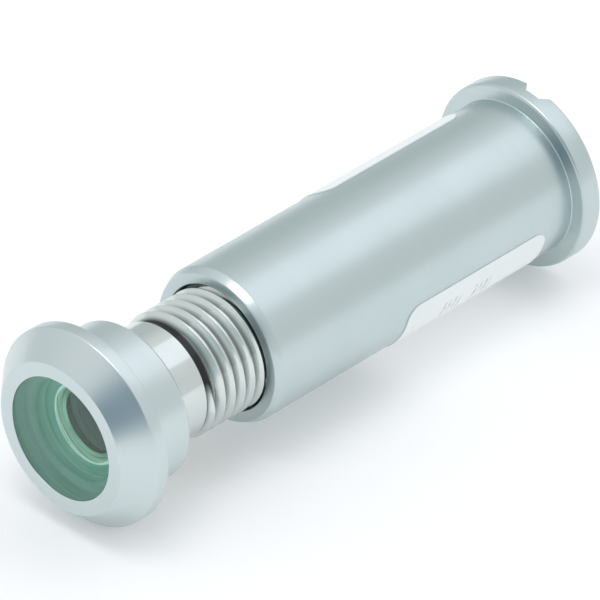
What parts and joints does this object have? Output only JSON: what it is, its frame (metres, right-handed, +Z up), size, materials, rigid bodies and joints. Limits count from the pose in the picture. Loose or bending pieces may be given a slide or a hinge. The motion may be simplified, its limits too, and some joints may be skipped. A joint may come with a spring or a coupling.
{
  "type": "door viewer",
  "caption": "Adjustable wide-angle door viewer: satin chrome bezel with thick green glass, threaded nickel barrel and a flanged sleeve that screws along it to suit the door.",
  "frame": {"origin": "on the viewer's axis, in the plane where the bezel seats on the outside face of the door", "axes": "+Y along the viewer's axis from the outside of the door to the inside, +Z up, +X to the right when seen from outside"},
  "size_m": [0.0178, 0.0552, 0.0178],
  "materials": {
    "satin_chrome": "satin",
    "bright_nickel": "polished",
    "brass_ring": "turned",
    "black_ring": "black anodised",
    "green_glass": "polished",
    "clear_glass": "polished",
    "seal_rubber": "matte",
    "label_paper": "matte"
  },
  "bodies": {
    "outside_half": {"bezel": "satin_chrome", "front_lens": "green_glass", "lens_gasket": "seal_rubber", "threaded_barrel": "bright_nickel", "lens_seat_ring": "brass_ring", "second_lens": "clear_glass", "lens_spacer": "black_ring", "third_lens": "clear_glass", "lens_retaining_ring": "black_ring"},
    "eyepiece": {"eyepiece_lens": "clear_glass", "eyepiece_gasket": "seal_rubber"},
    "inside_half": {"sleeve": "satin_chrome", "sleeve_label": "label_paper", "eyepiece_retaining_ring": "black_ring"}
  },
  "joints": [
    {"name": "sleeve_travel", "type": "slide", "parent": "outside_half", "child": "eyepiece", "axis": [0, 1, 0], "range_m": [-0.0098, 0.0102]},
    {"name": "sleeve_turn", "type": "hinge", "parent": "eyepiece", "child": "inside_half", "pos_m": [0, 0, 0], "axis": [0, 1, 0], "range_deg": [-3067.8, 3193]}
  ],
  "couplings": [
    {"joint": "sleeve_travel", "follows": "sleeve_turn", "m_per_rad": 0.00018303}
  ]
}
